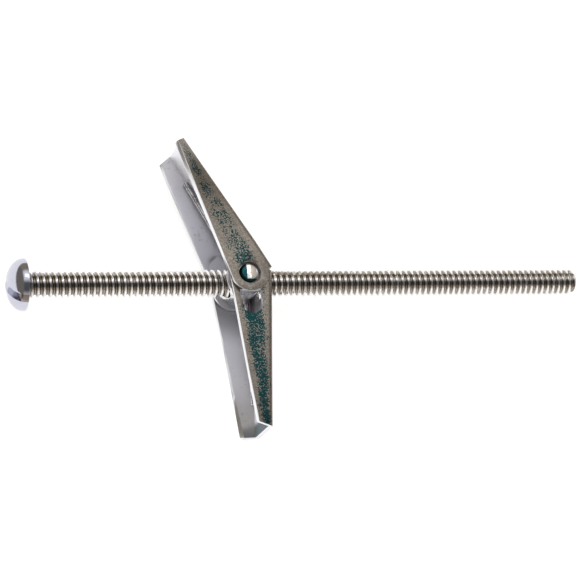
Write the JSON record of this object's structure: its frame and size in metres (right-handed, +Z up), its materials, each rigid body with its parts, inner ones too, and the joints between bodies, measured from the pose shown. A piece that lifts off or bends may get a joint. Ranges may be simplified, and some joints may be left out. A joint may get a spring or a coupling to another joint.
{
  "type": "spring toggle bolt",
  "caption": "Slotted round-head machine screw with a cross-tapped trunnion nut that carries spring-opened folding sheet-metal wings for fixing to hollow walls.",
  "frame": {"origin": "on the screw axis, in the plane of the underside of the head", "axes": "+X along the screw from the head to the point; +Z up and parallel to the trunnion axis of the wings; the bolt lies on its side"},
  "size_m": [0.1027, 0.0514, 0.0134],
  "materials": {
    "screw_zinc": "bright blue-white zinc plating",
    "nut_zinc": "bright zinc plating",
    "spring_wire": "drawn spring wire",
    "wing_zinc": "zinc plated cold-rolled sheet"
  },
  "bodies": {
    "screw": {"machine_screw": "screw_zinc"},
    "nut": {"trunnion_nut": "nut_zinc", "torsion_spring": "spring_wire"},
    "upper_leaf": {"upper_wing": "wing_zinc"},
    "lower_leaf": {"lower_wing": "wing_zinc"}
  },
  "joints": [
    {"name": "nut_travel", "type": "slide", "parent": "screw", "child": "nut", "axis": [1, 0, 0], "range_m": [-0.011, 0.058]},
    {"name": "upper_wing_fold", "type": "hinge", "parent": "nut", "child": "upper_leaf", "pos_m": [0.0373, 0, 0], "axis": [0, 0, 1], "range_deg": [0, 61.5], "stiffness_Nm_per_rad": 0.08, "springref_deg": -34.38, "deforming": ["torsion_spring"]},
    {"name": "lower_wing_fold", "type": "hinge", "parent": "nut", "child": "lower_leaf", "pos_m": [0.0373, 0, 0], "axis": [0, 0, -1], "range_deg": [0, 85.1], "stiffness_Nm_per_rad": 0.08, "springref_deg": -34.38, "deforming": ["torsion_spring"]}
  ]
}
